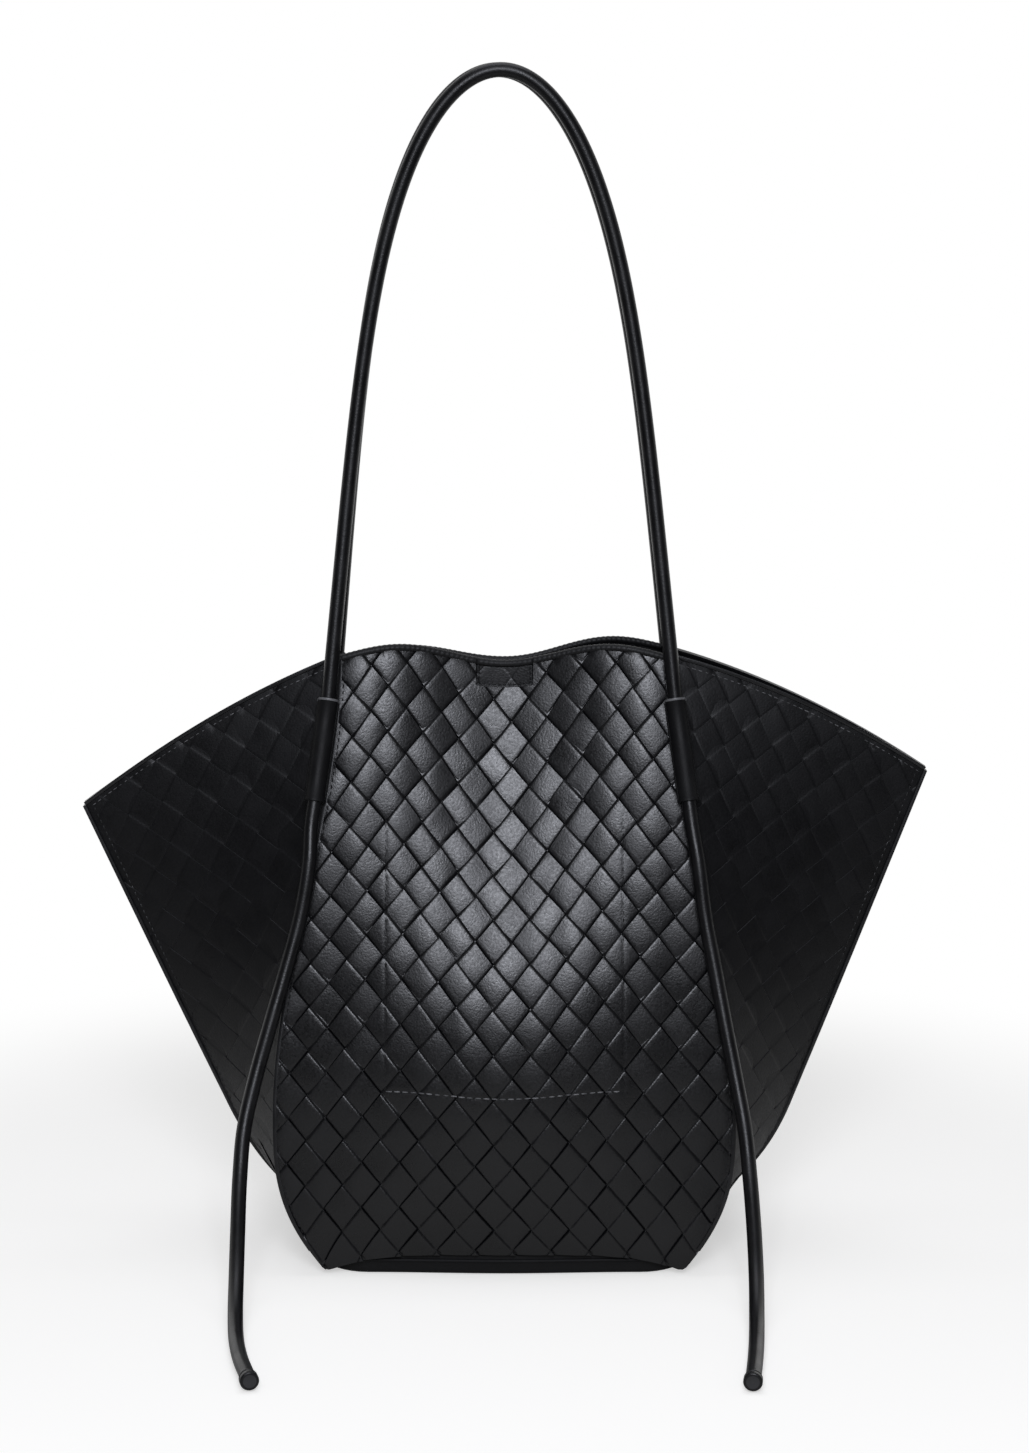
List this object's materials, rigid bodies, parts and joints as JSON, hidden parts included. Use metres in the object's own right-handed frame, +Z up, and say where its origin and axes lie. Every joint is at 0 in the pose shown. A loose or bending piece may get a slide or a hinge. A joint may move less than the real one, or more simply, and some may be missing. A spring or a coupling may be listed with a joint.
{
  "type": "woven tote bag",
  "caption": "Slouchy tote of plaited leather strips with side gussets folded out as wings, long rolled handles that end in loose tails, and a magnet closure.",
  "frame": {"origin": "on the table, under the middle of the base", "axes": "+Z up, the front panel faces -Y, +X to the right seen from the front"},
  "size_m": [0.3962, 0.4403, 0.5555],
  "materials": {
    "woven_leather": "plaited strips, satin",
    "strap_leather": "rolled and stitched, satin",
    "cord_core": "twisted cord",
    "stiff_board": "plain board",
    "inner_cloth": "plain weave",
    "magnet_steel": "plated"
  },
  "bodies": {
    "root": {"base_panel": "woven_leather", "base_board": "stiff_board", "base_cover": "inner_cloth", "front_left_wing": "woven_leather", "front_right_wing": "woven_leather", "back_left_wing": "woven_leather", "back_right_wing": "woven_leather"},
    "front": {"front_panel": "woven_leather", "front_magnet": "magnet_steel", "front_magnet_patch": "strap_leather", "slip_pocket": "inner_cloth", "front_left_sleeve": "strap_leather", "front_left_tail": "strap_leather", "front_left_tail_cap": "strap_leather", "front_right_sleeve": "strap_leather", "front_right_tail": "strap_leather", "front_right_tail_cap": "strap_leather"},
    "back": {"back_panel": "woven_leather", "back_magnet": "magnet_steel", "back_magnet_patch": "strap_leather", "back_left_sleeve": "strap_leather", "back_left_tail": "strap_leather", "back_left_tail_cap": "strap_leather", "back_right_sleeve": "strap_leather", "back_right_tail": "strap_leather", "back_right_tail_cap": "strap_leather"},
    "front_handle": {"front_handle": "strap_leather", "front_handle_core": "cord_core"},
    "back_handle": {"back_handle": "strap_leather", "back_handle_core": "cord_core"}
  },
  "joints": [
    {"name": "front_open", "type": "hinge", "parent": "root", "child": "front", "pos_m": [0, -0.07, 0.0104], "axis": [1, 0, 0], "range_deg": [0, 10], "stiffness_Nm_per_rad": 0.2},
    {"name": "back_open", "type": "hinge", "parent": "root", "child": "back", "pos_m": [0, 0.07, 0.0104], "axis": [-1, 0, 0], "range_deg": [0, 10], "stiffness_Nm_per_rad": 0.2},
    {"name": "front_handle_swing", "type": "hinge", "parent": "front", "child": "front_handle", "pos_m": [0, -0.0316, 0.2652], "axis": [1, 0, 0], "range_deg": [0, 140]},
    {"name": "back_handle_swing", "type": "hinge", "parent": "back", "child": "back_handle", "pos_m": [0, 0.0316, 0.2597], "axis": [-1, 0, 0], "range_deg": [0, 140]}
  ]
}
